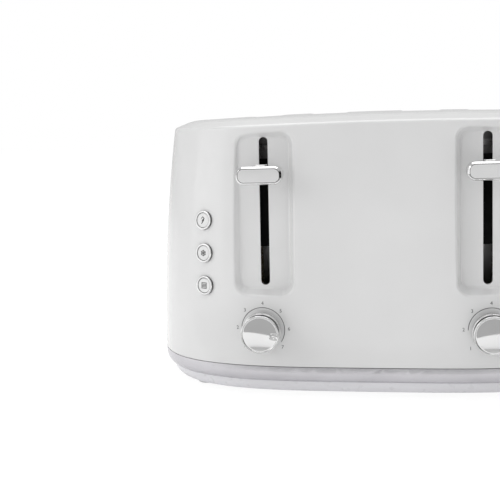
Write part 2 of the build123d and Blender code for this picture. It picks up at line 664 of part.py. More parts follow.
# ---------------------------------------------------------------- assembly
def shared_parts():
    """The pieces that the toaster has once."""
    return {
        "body_shell": body_shell(),
        "chrome_band": chrome_band(),
        "base_pan": base_pan(),
        "rubber_feet": rubber_feet(),
        "base_screws": base_screws(),
        "cord_gland": cord_gland(),
    }


def left_parts():
    """The pieces that each half has, as they lie in the left half."""
    parts = {
        "crumb_tray": crumb_tray(),
        "lever_cap": lever_cap(),
        "button_bezels": button_bezels(),
        "button_board": button_board(),
        "control_board": control_board(),
        "carriage_plate": carriage_plate(),
        "bread_lifter_inner": bread_lifter(SLOT_CENTRES[0]),
        "bread_lifter_outer": bread_lifter(SLOT_CENTRES[1]),
        "guide_rod": guide_rod(),
        "return_spring": return_spring(),
        "armature": armature(),
        "magnet_core": magnet_core(),
        "magnet_coils": magnet_coils(),
        "oven_front_plate": oven_front_plate(),
        "oven_rear_plate": oven_rear_plate(),
        "heat_shields": heat_shields(),
        "heater_boards": heater_boards(),
        "guides_outward": bread_guides("left"),
        "guides_inward": bread_guides("right"),
    }
    for name, height in BUTTON_HEIGHTS.items():
        parts["button_" + name] = button_cap(height)
    return parts


def main():
    """Write every sub-part to its own STEP file."""
    os.makedirs("parts", exist_ok=True)
    parts = shared_parts()
    for name, part in left_parts().items():
        parts[name + "_left"] = part
        parts[name + "_right"] = mirrored(part)
    for side, x in (("left", DIAL_X), ("right", -DIAL_X)):
        parts["dial_knob_" + side] = dial_knob(x)
        parts["dial_shaft_" + side] = dial_shaft(x)
        parts["potentiometer_" + side] = potentiometer(x)
    for name, part in parts.items():
        export_step(Pos(0, SHIFT_Y, 0) * part, "parts/" + name + ".step")


if __name__ == "__main__":
    main()
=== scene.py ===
"""Looks of the four-slice pop up toaster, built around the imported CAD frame.

Objects are in metres, +Z up. Sizes in the drawn profiles are in millimetres, unless a comment says
otherwise.
"""
import json
import math

import bmesh
import bpy
from mathutils import Matrix, Vector
from mathutils.bvhtree import BVHTree


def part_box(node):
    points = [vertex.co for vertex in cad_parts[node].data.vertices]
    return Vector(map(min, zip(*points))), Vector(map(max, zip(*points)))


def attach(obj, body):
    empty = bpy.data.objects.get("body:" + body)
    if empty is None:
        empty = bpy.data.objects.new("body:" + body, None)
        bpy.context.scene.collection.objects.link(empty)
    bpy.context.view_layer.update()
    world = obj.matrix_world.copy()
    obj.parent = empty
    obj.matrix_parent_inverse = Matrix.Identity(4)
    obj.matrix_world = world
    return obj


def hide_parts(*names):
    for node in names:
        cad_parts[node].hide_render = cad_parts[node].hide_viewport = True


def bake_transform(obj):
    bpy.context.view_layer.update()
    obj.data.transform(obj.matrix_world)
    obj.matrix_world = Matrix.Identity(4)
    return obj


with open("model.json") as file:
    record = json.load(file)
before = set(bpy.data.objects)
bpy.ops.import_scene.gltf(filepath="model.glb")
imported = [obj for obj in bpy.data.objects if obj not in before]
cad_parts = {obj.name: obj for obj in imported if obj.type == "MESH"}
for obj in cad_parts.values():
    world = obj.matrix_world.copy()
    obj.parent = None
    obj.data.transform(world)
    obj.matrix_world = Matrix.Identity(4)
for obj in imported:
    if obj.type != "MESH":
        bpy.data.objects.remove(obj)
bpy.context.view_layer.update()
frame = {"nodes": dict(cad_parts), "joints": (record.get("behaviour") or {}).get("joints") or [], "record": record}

MM = 0.001
NODES = frame["nodes"]
JOINTS = {joint["name"]: joint for joint in frame["joints"]}
SIDES = ("left", "right")


# ---------------------------------------------------------------- places read from the frame
def middle(node):
    """Centre of a CAD node's box."""
    low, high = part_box(node)
    return (low + high) / 2


def surface_tree(node):
    """Search tree of a CAD node's surface."""
    mesh = NODES[node].data
    corners = [vertex.co.copy() for vertex in mesh.vertices]
    return BVHTree.FromPolygons(corners, [tuple(face.vertices) for face in mesh.polygons])


SHELL_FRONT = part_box("body_shell")[0].y
SHELL_TREE = surface_tree("body_shell")
BODY_Y = middle("body_shell").y
PROBE_START = 0.05          # metres in front of the housing
FACE_TOLERANCE = 0.05       # points this close to a cap's front belong to its face


def on_front(x, z, lift):
    """Point on the housing's front at x and z, lifted off it."""
    start = Vector((x, SHELL_FRONT - PROBE_START, z))
    hit, normal, _, _ = SHELL_TREE.ray_cast(start, Vector((0, 1, 0)))
    return hit + normal * lift


def face_centre(node, out):
    """Middle of the face that a round node shows towards out."""
    vertices = NODES[node].data.vertices
    reach = [vertex.co.dot(out) for vertex in vertices]
    front = max(reach) - FACE_TOLERANCE * MM
    rim = [vertex.co for vertex, depth in zip(vertices, reach) if depth > front]
    return sum(rim, Vector()) / len(rim)


# ---------------------------------------------------------------- materials
MOTTLE_SCALE = 14.0         # noise scales, in features per metre
WEAR_SCALE = 120.0
GRAIN_SCALE = 2200.0
PLATING_SCALE = 40.0
SCRATCH_SCALE = 300.0
STAIN_SCALE = 30.0
GRAIN_DEPTH = 0.00002       # bump depths, in metres
SCRATCH_DEPTH = 0.000006
RUBBER_DEPTH = 0.0001
PRINT_DEPTH = 0.000005
PLASTIC_IOR = 1.49
COAT_ROUGHNESS = 0.06


def new_material(name):
    """Node material with a Principled shader; returns material, nodes, link function, shader."""
    material = bpy.data.materials.new(name)
    material.use_nodes = True
    tree = material.node_tree
    return material, tree.nodes, tree.links.new, tree.nodes["Principled BSDF"]


def noise(nodes, link, scale, detail=3.0, roughness=0.5, stretch=None):
    """Noise texture in object space, stretched if asked."""
    place = nodes.new("ShaderNodeTexCoord")
    texture = nodes.new("ShaderNodeTexNoise")
    texture.inputs["Scale"].default_value = scale
    texture.inputs["Detail"].default_value = detail
    texture.inputs["Roughness"].default_value = roughness
    source = place.outputs["Object"]
    if stretch:
        mapping = nodes.new("ShaderNodeMapping")
        mapping.inputs["Scale"].default_value = stretch
        link(source, mapping.inputs["Vector"])
        source = mapping.outputs["Vector"]
    link(source, texture.inputs["Vector"])
    return texture.outputs["Fac"]


def spread(nodes, link, source, low, high, start=0.3, end=0.7):
    """Map a value from the span start to end onto the span low to high."""
    ramp = nodes.new("ShaderNodeMapRange")
    ramp.inputs["From Min"].default_value = start
    ramp.inputs["From Max"].default_value = end
    ramp.inputs["To Min"].default_value = low
    ramp.inputs["To Max"].default_value = high
    link(source, ramp.inputs["Value"])
    return ramp.outputs["Result"]


def tint(nodes, link, source, dark, light):
    """Colour between two tones, driven by a noise value."""
    mix = nodes.new("ShaderNodeMix")
    mix.data_type = "RGBA"
    link(spread(nodes, link, source, 0.0, 1.0), mix.inputs["Factor"])
    mix.inputs["A"].default_value = (*dark, 1)
    mix.inputs["B"].default_value = (*light, 1)
    return mix.outputs["Result"]


def bump(nodes, link, source, shader, strength, distance):
    """Drive the shader's normal with a height."""
    node = nodes.new("ShaderNodeBump")
    node.inputs["Strength"].default_value = strength
    node.inputs["Distance"].default_value = distance
    link(source, node.inputs["Height"])
    link(node.outputs["Normal"], shader.inputs["Normal"])


def plastic(name, dark, light, rough=(0.16, 0.24), coat=0.5):
    """Moulded plastic with faint mottling, fine grain and a clear gloss."""
    material, nodes, link, shader = new_material(name)
    broad = noise(nodes, link, MOTTLE_SCALE, detail=2.0)
    fine = noise(nodes, link, GRAIN_SCALE, detail=2.0)
    wear = noise(nodes, link, WEAR_SCALE, detail=5.0, roughness=0.6)
    link(tint(nodes, link, broad, dark, light), shader.inputs["Base Color"])
    link(spread(nodes, link, wear, *rough), shader.inputs["Roughness"])
    bump(nodes, link, fine, shader, strength=0.25, distance=GRAIN_DEPTH)
    shader.inputs["Coat Weight"].default_value = coat
    shader.inputs["Coat Roughness"].default_value = COAT_ROUGHNESS
    shader.inputs["IOR"].default_value = PLASTIC_IOR
    return material


def metal(name, dark, light, rough, stretch=None):
    """Bare or plated metal with fine scratches or brushing and uneven polish."""
    material, nodes, link, shader = new_material(name)
    shader.inputs["Metallic"].default_value = 1.0
    streak = noise(nodes, link, SCRATCH_SCALE, detail=4.0, roughness=0.6, stretch=stretch)
    cloud = noise(nodes, link, PLATING_SCALE)
    link(tint(nodes, link, cloud, dark, light), shader.inputs["Base Color"])
    link(spread(nodes, link, streak, *rough), shader.inputs["Roughness"])
    bump(nodes, link, streak, shader, strength=0.2, distance=SCRATCH_DEPTH)
    return material


def matte(name, dark, light, rough=(0.6, 0.8), scale=SCRATCH_SCALE, depth=RUBBER_DEPTH):
    """Dull material such as rubber, mica or print."""
    material, nodes, link, shader = new_material(name)
    grain = noise(nodes, link, scale, detail=4.0, roughness=0.6)
    cloud = noise(nodes, link, STAIN_SCALE)
    link(tint(nodes, link, cloud, dark, light), shader.inputs["Base Color"])
    link(spread(nodes, link, grain, *rough), shader.inputs["Roughness"])
    bump(nodes, link, grain, shader, strength=0.3, distance=depth)
    return material


def grey(value):
    """Neutral tone."""
    return (value, value, value)


MATERIALS = {
    "white_body": plastic("white_body", grey(0.74), grey(0.78)),
    "white_base": plastic("white_base", (0.735, 0.73, 0.755), (0.765, 0.76, 0.785),
                          rough=(0.25, 0.35), coat=0.3),
    "chrome_trim": metal("chrome_trim", (0.585, 0.575, 0.60), (0.635, 0.625, 0.65),
                         rough=(0.20, 0.26)),
    "chrome_controls": metal("chrome_controls", grey(0.74), grey(0.80), rough=(0.03, 0.07)),
    "button_white": plastic("button_white", grey(0.76), grey(0.80), rough=(0.30, 0.38), coat=0.2),
    "foot_rubber": matte("foot_rubber", grey(0.66), grey(0.74)),
    "screw_steel": metal("screw_steel", grey(0.45), grey(0.55), rough=(0.25, 0.4)),
    "gland_plastic": plastic("gland_plastic", grey(0.66), grey(0.70), rough=(0.4, 0.5), coat=0.1),
    "tray_steel": metal("tray_steel", grey(0.58), grey(0.64), rough=(0.26, 0.34),
                        stretch=(1, 0.05, 1)),
    "oven_steel": metal("oven_steel", grey(0.42), grey(0.55), rough=(0.28, 0.42),
                        stretch=(1, 1, 0.08)),
    "wire_steel": metal("wire_steel", grey(0.48), grey(0.60), rough=(0.2, 0.34)),
    "mica": matte("mica", (0.42, 0.36, 0.26), (0.58, 0.51, 0.38), scale=500.0),
    "board_green": matte("board_green", (0.02, 0.10, 0.05), (0.03, 0.15, 0.07),
                         rough=(0.3, 0.45)),
    # near black, far darker than bare steel: painted shade inside the slots
    "carriage_steel": metal("carriage_steel", grey(0.025), grey(0.04), rough=(0.45, 0.6)),
    "rod_steel": metal("rod_steel", grey(0.60), grey(0.70), rough=(0.1, 0.2)),
    "core_iron": metal("core_iron", grey(0.14), grey(0.22), rough=(0.4, 0.55)),
    "coil_copper": metal("coil_copper", (0.42, 0.17, 0.08), (0.60, 0.27, 0.12),
                         rough=(0.3, 0.45)),
    "pot_case": matte("pot_case", grey(0.02), grey(0.04), rough=(0.4, 0.5)),
}
CHROME = MATERIALS["chrome_controls"]
RIBBON = metal("heater_ribbon", (0.30, 0.26, 0.22), (0.42, 0.37, 0.32), rough=(0.35, 0.5))
# near-black matte for painted shade and painted dark reflection: the dial waists, the gaps round the buttons and
# the seam round each lever face
PAINTED_SHADE = matte("painted_shade_black", grey(0.012), grey(0.02), rough=(0.35, 0.5), depth=PRINT_DEPTH)
PRINT = matte("grey_print", grey(0.045), grey(0.065), rough=(0.5, 0.6), depth=PRINT_DEPTH)


def paint_nodes():
    """Give every CAD node the material of its record slot."""
    for entry in frame["record"]["subparts"]:
        mesh = NODES[entry["node"]].data
        material = MATERIALS[entry["material_slot"]]
        if not mesh.materials:
            mesh.materials.append(material)
        for index in range(len(mesh.materials)):
            mesh.materials[index] = material


# ---------------------------------------------------------------- mesh making
BLOCK_FACES = ((0, 3, 2, 1), (4, 5, 6, 7), (0, 1, 5, 4), (1, 2, 6, 5), (2, 3, 7, 6), (3, 0, 4, 7))
LINE_SUNK = -0.1            # printed lines reach from here to there, from the surface
LINE_PROUD = 0.04
RING_SEGMENTS = 96


def new_object(name, data):
    """Object with the given data, linked to the scene."""
    item = bpy.data.objects.new(name, data)
    bpy.context.scene.collection.objects.link(item)
    return item


def new_piece(name, points, faces, material, sharp=35.0):
    """Mesh object from points and faces, smooth where faces meet at less than the sharp angle."""
    mesh = bpy.data.meshes.new(name)
    mesh.from_pydata(points, [], faces)
    mesh.materials.append(material)
    shape = bmesh.new()
    shape.from_mesh(mesh)
    bmesh.ops.recalc_face_normals(shape, faces=shape.faces)
    shape.to_mesh(mesh)
    shape.free()
    mesh.shade_smooth()
    mesh.set_sharp_from_angle(angle=math.radians(sharp))
    return new_object(name, mesh)


def seat(origin, out):
    """Frame on the front: X to the right, Y up along the face, Z outwards."""
    out = Vector(out).normalized()
    right = Vector((0, 0, 1)).cross(out).normalized()
    up = out.cross(right)
    return Matrix.Translation(origin) @ Matrix((right, up, out)).transposed().to_4x4()


def on_seat(plate):
    """Function that lays a drawn point and its height on a flat seat."""
    def place(point, height):
        return plate @ Vector((point[0] * MM, point[1] * MM, height * MM))
    return place


def on_panel(x, z):
    """Function that lays a drawn point and its height on the housing's front, about x and z."""
    def place(point, height):
        return on_front(x + point[0] * MM, z + point[1] * MM, height * MM)
    return place


def arc(centre, radius, start, end, steps):
    """Points of a round corner in a profile, angles in degrees."""
    angles = [math.radians(start + (end - start) * step / steps) for step in range(steps + 1)]
    return [(centre[0] + radius * math.cos(angle), centre[1] + radius * math.sin(angle))
            for angle in angles]


def ring_faces(rows, around, closed=False):
    """Faces between rings of points, capped at both ends unless the last ring meets the first."""
    faces = []
    for row in range(rows if closed else rows - 1):
        near, far = row * around, (row + 1) % rows * around
        for index in range(around):
            after = (index + 1) % around
            faces.append((near + index, near + after, far + after, far + index))
    if not closed:
        faces.append(tuple(range(around)))
        faces.append(tuple(reversed(range((rows - 1) * around, rows * around))))
    return faces


def turned(profile, plate, segments=RING_SEGMENTS, closed=True, dent=None):
    """Points and faces of a profile of (radius, height), turned about the seat's Z."""
    points = []
    for radius, height in profile:
        for index in range(segments):
            angle = 2 * math.pi * index / segments
            x, y = radius * math.cos(angle), radius * math.sin(angle)
            z = height - (dent(x, y, height) if dent else 0.0)
            points.append(plate @ Vector((x * MM, y * MM, z * MM)))
    return points, ring_faces(len(profile), segments, closed)


def strokes(lines, width, place):
    """Thin lines with square ends; place turns a drawn point and its height into a point."""
    points, faces = [], []
    for line in lines:
        for start, end in zip(line, line[1:]):
            along = (Vector(end) - Vector(start)).normalized() * width / 2
            across = Vector((-along.y, along.x))
            first = Vector(start) - along
            last = Vector(end) + along
            corners = (first - across, last - across, last + across, first + across)
            base = len(points)
            points += [place(corner, LINE_SUNK) for corner in corners]
            points += [place(corner, LINE_PROUD) for corner in corners]
            faces += [tuple(base + corner for corner in face) for face in BLOCK_FACES]
    return points, faces


def rounded_box(name, low, high, radius, material):
    """Block with all its edges rounded."""
    shape = bmesh.new()
    bmesh.ops.create_cube(shape, size=1.0)
    for vertex in shape.verts:
        share = vertex.co + Vector((0.5, 0.5, 0.5))
        vertex.co = Vector(low[axis] + (high[axis] - low[axis]) * share[axis] for axis in range(3))
    bmesh.ops.bevel(shape, geom=shape.edges[:], offset=radius * MM, segments=4, profile=0.5,
                    affect="EDGES")
    points = [vertex.co.copy() for vertex in shape.verts]
    shape.verts.index_update()
    faces = [tuple(vertex.index for vertex in face.verts) for face in shape.faces]
    shape.free()
    return new_piece(name, points, faces, material, sharp=60.0)


# ---------------------------------------------------------------- dials
DIAL_SEGMENTS = 192
DIAL_RIM_INSET = 0.4        # the face disc is this much smaller in radius than the flange
DIAL_DISC = 1.7             # thickness of the face disc
DIAL_FLANGE = 4.9           # from the face back to the flange
DIAL_WAIST = 1.5            # the waist is this much smaller in radius than the face disc
DIAL_EDGE_ROUND = 0.4       # round of the edges behind the face disc and behind the flange
DIAL_FLANGE_ROUND = 0.5
DIAL_FLANGE_BACK = 2.9      # height of the round at the flange's back
DIAL_SKIRT = ((1.0, 2.4), (1.0, 0.0), (3.0, 0.0), (3.0, 6.0))   # inset from the flange, height
DIAL_BORE = (3.2, 6.0)
RIM_WIDTH = 1.75
RIM_ROUND = 0.75
DISH_DEPTH = 1.5
DISH_STEP = 0.55            # from the dish's edge up to the top of the rim
DISH_ROWS = 22
DISH_CENTRE = 0.02          # radius of the innermost ring of points

REFLECTION_SLEEVE_INSET = 1.45         # the painted-reflection sleeve's radius is this much smaller than the face disc's
REFLECTION_SLEEVE_WALL = 0.3
REFLECTION_SLEEVE_EDGE = 0.62          # bright edge of the flange that the painted-reflection sleeve leaves free
REFLECTION_SLEEVE_GAP = 0.02
REFLECTION_SLEEVE_PROUD = 0.06
REFLECTION_SLEEVE_SUNK = 0.1

POINTER_ANGLE = -7.0
POINTER_REACH = 9.6
POINTER_DEPTH = 1.2
POINTER_HALF = (2.5, 1.7)   # half length and half width of the notch
FACE_FLOOR = 12             # only what stands higher than this belongs to the dial's face


def dial_profile(reach, radius):
    """Dished face with a rolled rim, a deep waist and a wide flange behind."""
    rim = radius - DIAL_RIM_INSET
    dish = reach - DISH_DEPTH
    back = reach - DIAL_DISC
    flange = reach - DIAL_FLANGE
    profile = [(DISH_CENTRE, dish)]
    for row in range(1, DISH_ROWS + 1):
        share = row / DISH_ROWS
        height = dish + (DISH_DEPTH - DISH_STEP) * share * share
        profile.append(((rim - RIM_WIDTH) * row / DISH_ROWS, height))
    profile += arc((rim - RIM_ROUND, reach - RIM_ROUND), RIM_ROUND, 165, 0, 12)
    profile += arc((rim - DIAL_EDGE_ROUND, back + DIAL_EDGE_ROUND), DIAL_EDGE_ROUND, 0, -90, 4)
    profile += [(rim - DIAL_WAIST, back), (rim - DIAL_WAIST, flange)]
    profile += arc((radius - DIAL_FLANGE_ROUND, flange - DIAL_FLANGE_ROUND), DIAL_FLANGE_ROUND,
                   90, 0, 6)
    profile += arc((radius - DIAL_EDGE_ROUND, DIAL_FLANGE_BACK), DIAL_EDGE_ROUND, 0, -90, 4)
    profile += [(radius - inset, height) for inset, height in DIAL_SKIRT]
    return profile + [DIAL_BORE]


def sleeve_profile(reach, radius):
    """Near-black sleeve that lines the waist and covers the flange up to its bright edge: painted dark reflection.
    """
    waist = radius - DIAL_RIM_INSET - REFLECTION_SLEEVE_INSET
    inside = waist - REFLECTION_SLEEVE_WALL
    edge = radius - REFLECTION_SLEEVE_EDGE
    top = reach - DIAL_DISC - REFLECTION_SLEEVE_GAP
    cover = reach - DIAL_FLANGE + REFLECTION_SLEEVE_PROUD
    foot = reach - DIAL_FLANGE - REFLECTION_SLEEVE_SUNK
    return [(inside, top), (waist, top), (waist, cover), (edge, cover), (edge, foot),
            (inside, foot)]


def pointer_dent(x, y, height):
    """Depth of the scooped notch in the face that marks the chosen number."""
    if height <= FACE_FLOOR:
        return 0.0
    angle = math.radians(POINTER_ANGLE)
    along = x * math.cos(angle) + y * math.sin(angle) - POINTER_REACH
    across = y * math.cos(angle) - x * math.sin(angle)
    return POINTER_DEPTH * math.exp(-(along / POINTER_HALF[0]) ** 4
                                    - (across / POINTER_HALF[1]) ** 4)


def add_dial(side):
    """Chrome browning dial, and a near-black sleeve in its waist that is painted dark reflection."""
    node = "dial_knob_" + side
    low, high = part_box(node)
    centre = (low + high) / 2
    plate = seat((centre.x, high.y, centre.z), (0, -1, 0))
    reach, radius = (high.y - low.y) / MM, (high.z - low.z) / 2 / MM
    points, faces = turned(dial_profile(reach, radius), plate, DIAL_SEGMENTS, closed=False,
                           dent=pointer_dent)
    dial = new_piece("dial_" + side, points, faces, CHROME, sharp=50.0)
    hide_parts(node)
    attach(dial, "dial_" + side)
    # near-black sleeve on the waist and flange: painted dark reflection of the chrome
    points, faces = turned(sleeve_profile(reach, radius), plate)
    reflection_sleeve = new_piece("dial_dark_reflection_" + side, points, faces, PAINTED_SHADE)
    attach(reflection_sleeve, "dial_" + side)


# ---------------------------------------------------------------- the dials' scales
SCALE_RADIUS = 15.1
SCALE_SPAN = (178.0, -33.0)     # start and end of the arc, in degrees
SCALE_LINE = 0.42
SCALE_STEPS = 72
DIGITS = 7
TOP_DIGIT = 4
DIGIT_STEP = 44.0               # degrees between digits
DIGIT_REACH = 18.1
DIGIT_HEIGHT = 2.4
FONT_SHARE = 0.7                # a digit's height as a share of the font's size


def add_digit(name, text, place, spot):
    """One printed number, laid on the panel."""
    curve = bpy.data.curves.new(name, "FONT")
    curve.body = text
    curve.size = DIGIT_HEIGHT / FONT_SHARE
    curve.align_x = "CENTER"
    curve.align_y = "CENTER"
    curve.resolution_u = 4
    curve.extrude = 1.0
    holder = new_object(name, curve)
    graph = bpy.context.evaluated_depsgraph_get()
    shape = bpy.data.meshes.new_from_object(holder.evaluated_get(graph))
    bpy.data.objects.remove(holder)
    points = []
    for vertex in shape.vertices:
        height = LINE_PROUD if vertex.co.z > 0 else LINE_SUNK
        points.append(place((vertex.co.x + spot[0], vertex.co.y + spot[1]), height))
    faces = [tuple(face.vertices) for face in shape.polygons]
    digit = new_piece(name, points, faces, PRINT)
    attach(digit, "housing")


def add_scale(side):
    """Printed arc and numbers round the dial."""
    centre = middle("dial_knob_" + side)
    place = on_panel(centre.x, centre.z)
    curve = arc((0.0, 0.0), SCALE_RADIUS, *SCALE_SPAN, SCALE_STEPS)
    points, faces = strokes([curve], SCALE_LINE, place)
    arc_print = new_piece("scale_arc_" + side, points, faces, PRINT)
    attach(arc_print, "housing")
    for digit in range(1, DIGITS + 1):
        angle = math.radians(90 - (digit - TOP_DIGIT) * DIGIT_STEP)
        spot = (DIGIT_REACH * math.cos(angle), DIGIT_REACH * math.sin(angle))
        add_digit(f"scale_{digit}_{side}", str(digit), place, spot)


# ---------------------------------------------------------------- push buttons
BEZEL_BORE = 5.42
BEZEL_RADIUS = 6.7
BEZEL_HEIGHT = 1.95
BEZEL_THICKNESS = 0.7
BEZEL_LAND = 0.25           # from the front down to the straight wall of the bore
BEZEL_INNER_ROUND = 0.2
BEZEL_OUTER_ROUND = 0.4
BEZEL_EDGE = 0.6            # from the front down to the chamfer at the back
BEZEL_CHAMFER = 0.2
SHADE_COLLAR_FOOT = -1.0
SHADE_COLLAR_LAP = 0.02           # the painted-shade collar reaches this far into the bezel
SHADE_COLLAR_INSETS = (0.05, 0.06)    # from the bezel's bore and from its rim
HOUSING_PROBE = (0.02, 0.0064)  # metres out from the cap and aside, where the housing is probed
SYMBOL_LINE = 0.5
FLAKE_ARMS = 6
FLAKE_ARM = 2.0
FLAKE_BARB = 0.7
FLAKE_LEAN = 50             # degrees from the arm to the barb
BARB_PLACE = 0.6            # as a share of the arm
SQUARE_HALF = 1.9
SQUARE_INSET = 0.6
SQUARE_LEVELS = (-0.9, 0.0, 0.9)


def bezel_profile():
    """Bright ring with a rounded front, thin enough to overhang the near-black collar of painted shade that it
    sits on.
    """
    back = BEZEL_HEIGHT - BEZEL_THICKNESS
    profile = [(BEZEL_BORE, back), (BEZEL_BORE, BEZEL_HEIGHT - BEZEL_LAND)]
    profile += arc((BEZEL_BORE + BEZEL_INNER_ROUND, BEZEL_HEIGHT - BEZEL_INNER_ROUND),
                   BEZEL_INNER_ROUND, 170, 95, 4)
    profile += arc((BEZEL_RADIUS - BEZEL_OUTER_ROUND, BEZEL_HEIGHT - BEZEL_OUTER_ROUND),
                   BEZEL_OUTER_ROUND, 88, 0, 8)
    return profile + [(BEZEL_RADIUS, BEZEL_HEIGHT - BEZEL_EDGE),
                      (BEZEL_RADIUS - BEZEL_CHAMFER, back)]


def collar_profile():
    """Near-black collar under a bezel, standing in the housing's hole: painted shade of the gap round the button.
    """
    top = BEZEL_HEIGHT - (BEZEL_THICKNESS - SHADE_COLLAR_LAP)
    inner, outer = BEZEL_BORE + SHADE_COLLAR_INSETS[0], BEZEL_RADIUS - SHADE_COLLAR_INSETS[1]
    return [(inner, SHADE_COLLAR_FOOT), (inner, top), (outer, top), (outer, SHADE_COLLAR_FOOT)]


def heat_spark():
    """Arrowhead over a zigzag."""
    chevron = [(-1.2, 1.3), (0.0, 2.4), (1.2, 1.3)]
    spark = [(0.5, 1.0), (-0.5, -0.1), (0.6, -0.4), (-0.9, -2.3)]
    return [chevron, spark, [(0.9, 0.8), (0.1, -0.3)], [(0.9, 0.2), (-0.5, -1.2)]]


def snowflake():
    """Star of barbed arms."""
    lines = []
    for turn in range(FLAKE_ARMS):
        angle = math.radians(360 / FLAKE_ARMS * turn + 30)
        tip = Vector((math.cos(angle), math.sin(angle))) * FLAKE_ARM
        lines.append([(0, 0), tuple(tip)])
        for lean in (-FLAKE_LEAN, FLAKE_LEAN):
            aside = angle + math.radians(lean)
            barb = Vector((math.cos(aside), math.sin(aside))) * FLAKE_BARB
            lines.append([tuple(tip * BARB_PLACE), tuple(tip * BARB_PLACE + barb)])
    return lines


def lined_square():
    """Square with three lines in it."""
    half = SQUARE_HALF
    square = [(-half, -half), (half, -half), (half, half), (-half, half), (-half, -half)]
    end = half - SQUARE_INSET
    return [square] + [[(-end, level), (end, level)] for level in SQUARE_LEVELS]


SYMBOLS = {"reheat": heat_spark, "defrost": snowflake, "cancel": lined_square}


def add_button(name, side):
    """Chrome ring on a near-black collar, which is painted shade of the gap round a push button, and the symbol
    printed on its cap.
    """
    body = f"button_{name}_{side}"
    out = -Vector(JOINTS[body + "_push"]["axis"])
    cap_face = face_centre(body, out)
    probe = cap_face + out * HOUSING_PROBE[0] + out.orthogonal().normalized() * HOUSING_PROBE[1]
    hit, _, _, _ = SHELL_TREE.ray_cast(probe, -out)
    plate = seat(cap_face + out * (hit - cap_face).dot(out), out)
    points, faces = turned(bezel_profile(), plate)
    ring = new_piece(f"bezel_{name}_{side}", points, faces, CHROME)
    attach(ring, "housing")
    # near-black collar: painted shade in the gap round the bezel
    points, faces = turned(collar_profile(), plate)
    shade_collar = new_piece(f"shade_collar_{name}_{side}", points, faces, PAINTED_SHADE)
    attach(shade_collar, "housing")
    points, faces = strokes(SYMBOLS[name](), SYMBOL_LINE, on_seat(seat(cap_face, out)))
    mark = new_piece(f"symbol_{name}_{side}", points, faces, PRINT)
    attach(mark, body)
    return ring


def add_buttons(side):
    """All buttons of one half; the CAD node that holds all rings is hidden."""
    rings = [add_button(name, side) for name in SYMBOLS]
    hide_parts("button_bezels_" + side)


# ---------------------------------------------------------------- levers
LEVER_CORNER = 5.4
LEVER_THICKNESS = 12.7
LEVER_RIM_INSET = 1.6       # from the outline to the seam between rim and face, where a dark line of painted shade lies
LEVER_SHADE_LINE = 0.3
LEVER_BACK_ROUND = 2.0
LEVER_FRONT = 5             # down to this depth, only the bar itself has points
LEVER_LAYERS = ((4.0, 0.06), (1.75, 0.06), (1.6, 0.06), (1.45, 0.14), (0.4, 1.1), (0.2, 1.35),
                (0.06, 1.7), (0.0, 2.2), (0.0, LEVER_THICKNESS - 2.2))      # inset and depth
CORNER_STEPS = 12
CORNER_LEAST = 0.3          # smallest corner radius of an inset outline
CORNERS = ((0, (1, 1)), (90, (-1, 1)), (180, (-1, -1)), (270, (1, -1)))     # start, quadrant
NECK_HALF = (3.6, 4.4)      # half width, and reach below the lever's middle
NECK_LAP = 3.0              # the neck starts this far inside the bar
NECK_ROUND = 0.9


def bar_outline(half_width, half_height, inset):
    """Outline of a bar with round corners, moved in by inset."""
    radius = max(LEVER_CORNER - inset, CORNER_LEAST)
    across = half_width - inset - radius
    above = half_height - inset - radius
    outline = []
    for start, (right, up) in CORNERS:
        outline += arc((right * across, up * above), radius, start, start + 90, CORNER_STEPS)
    return outline


def add_lever(side):
    """Chrome finger piece: a flat face in a bevelled rim, with a short neck behind and a dark line of painted
    shade in the seam round the face.
    """
    node = "lever_cap_" + side
    low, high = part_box(node)
    vertices = NODES[node].data.vertices
    heights = [vertex.co.z for vertex in vertices if vertex.co.y < low.y + LEVER_FRONT * MM]
    bottom, top = min(heights), max(heights)
    centre = Vector(((low.x + high.x) / 2, low.y, (bottom + top) / 2))
    half_width, half_height = (high.x - low.x) / 2 / MM, (top - bottom) / 2 / MM
    plate = seat(centre, (0, -1, 0))
    layers = list(LEVER_LAYERS)
    for offset, drop in arc((0, 0), LEVER_BACK_ROUND, 5, 90, 6):
        layers.append((LEVER_BACK_ROUND - offset, LEVER_THICKNESS - LEVER_BACK_ROUND + drop))
    points = []
    for inset, depth in layers:
        outline = bar_outline(half_width, half_height, inset)
        points += [plate @ Vector((x * MM, z * MM, -depth * MM)) for x, z in outline]
    faces = ring_faces(len(layers), len(outline))
    lever = new_piece("lever_" + side, points, faces, CHROME, sharp=30.0)
    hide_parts(node)
    # near-black line in the seam between rim and face: painted shade
    outline = bar_outline(half_width, half_height, LEVER_RIM_INSET)
    sunk = plate @ Matrix.Translation((0, 0, -LINE_PROUD * MM))
    points, faces = strokes([outline + outline[:1]], LEVER_SHADE_LINE, on_seat(sunk))
    shade_line = new_piece("lever_shade_line_" + side, points, faces, PAINTED_SHADE)
    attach(shade_line, "lift_" + side)
    neck_front = low.y + (LEVER_THICKNESS - NECK_LAP) * MM
    neck_low = Vector((centre.x - NECK_HALF[0] * MM, neck_front, centre.z - NECK_HALF[1] * MM))
    neck_high = Vector((centre.x + NECK_HALF[0] * MM, high.y, high.z))
    neck = rounded_box("lever_neck_" + side, neck_low, neck_high, NECK_ROUND, CHROME)
    for piece in (lever, neck):
        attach(piece, "lift_" + side)


# ---------------------------------------------------------------- return springs
SPRING_WIRE = 0.4           # radius of the wire
SPRING_TURNS = 13
WIRE_SIDES = 8
TURN_STEPS = 24


